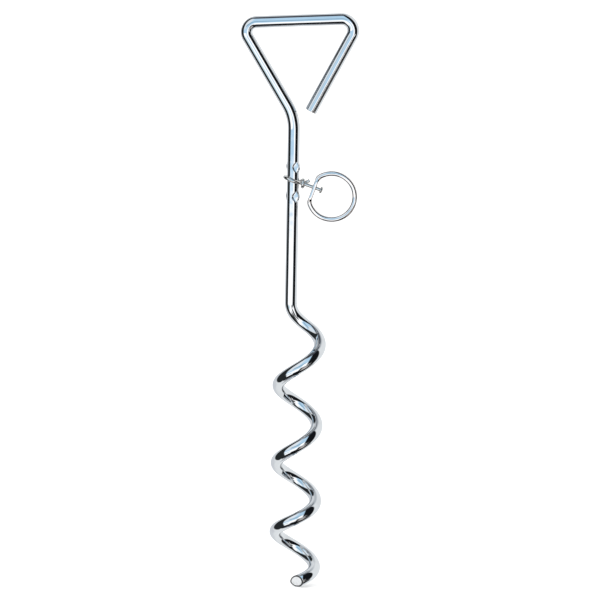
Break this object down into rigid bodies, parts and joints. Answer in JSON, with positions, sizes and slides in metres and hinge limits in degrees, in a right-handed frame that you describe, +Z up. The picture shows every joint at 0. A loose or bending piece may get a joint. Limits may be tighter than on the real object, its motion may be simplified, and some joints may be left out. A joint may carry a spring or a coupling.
{
  "type": "spiral ground stake",
  "caption": "Chrome-plated corkscrew ground stake with a triangular handle and a wire swivel eye carrying a loose round tie-out ring.",
  "frame": {"origin": "on the shank's axis where the corkscrew begins, which is ground level once the stake is driven", "axes": "+Z up the shank's axis, X in the plane of the handle with the handle's open end on +X, -Y towards the side on which the coil lies"},
  "size_m": [0.0879, 0.0382, 0.4221],
  "materials": {
    "rod_chrome": "bright plated, drawn round bar",
    "wire_chrome": "bright plated bent wire, slightly duller than the rod",
    "ring_chrome": "bright plated wire ring"
  },
  "bodies": {
    "stake": {"stake_rod": "rod_chrome"},
    "eye": {"swivel_eye": "wire_chrome"},
    "ring": {"ring": "ring_chrome"}
  },
  "joints": [
    {"name": "eye_swivel", "type": "hinge", "parent": "stake", "child": "eye", "pos_m": [0, 0, 0.0909], "axis": [0, 0, 1], "continuous": true},
    {"name": "ring_spin", "type": "hinge", "parent": "eye", "child": "ring", "pos_m": [0.01569, 0, 0.0855], "axis": [0.9455, 0, -0.3256], "continuous": true}
  ]
}
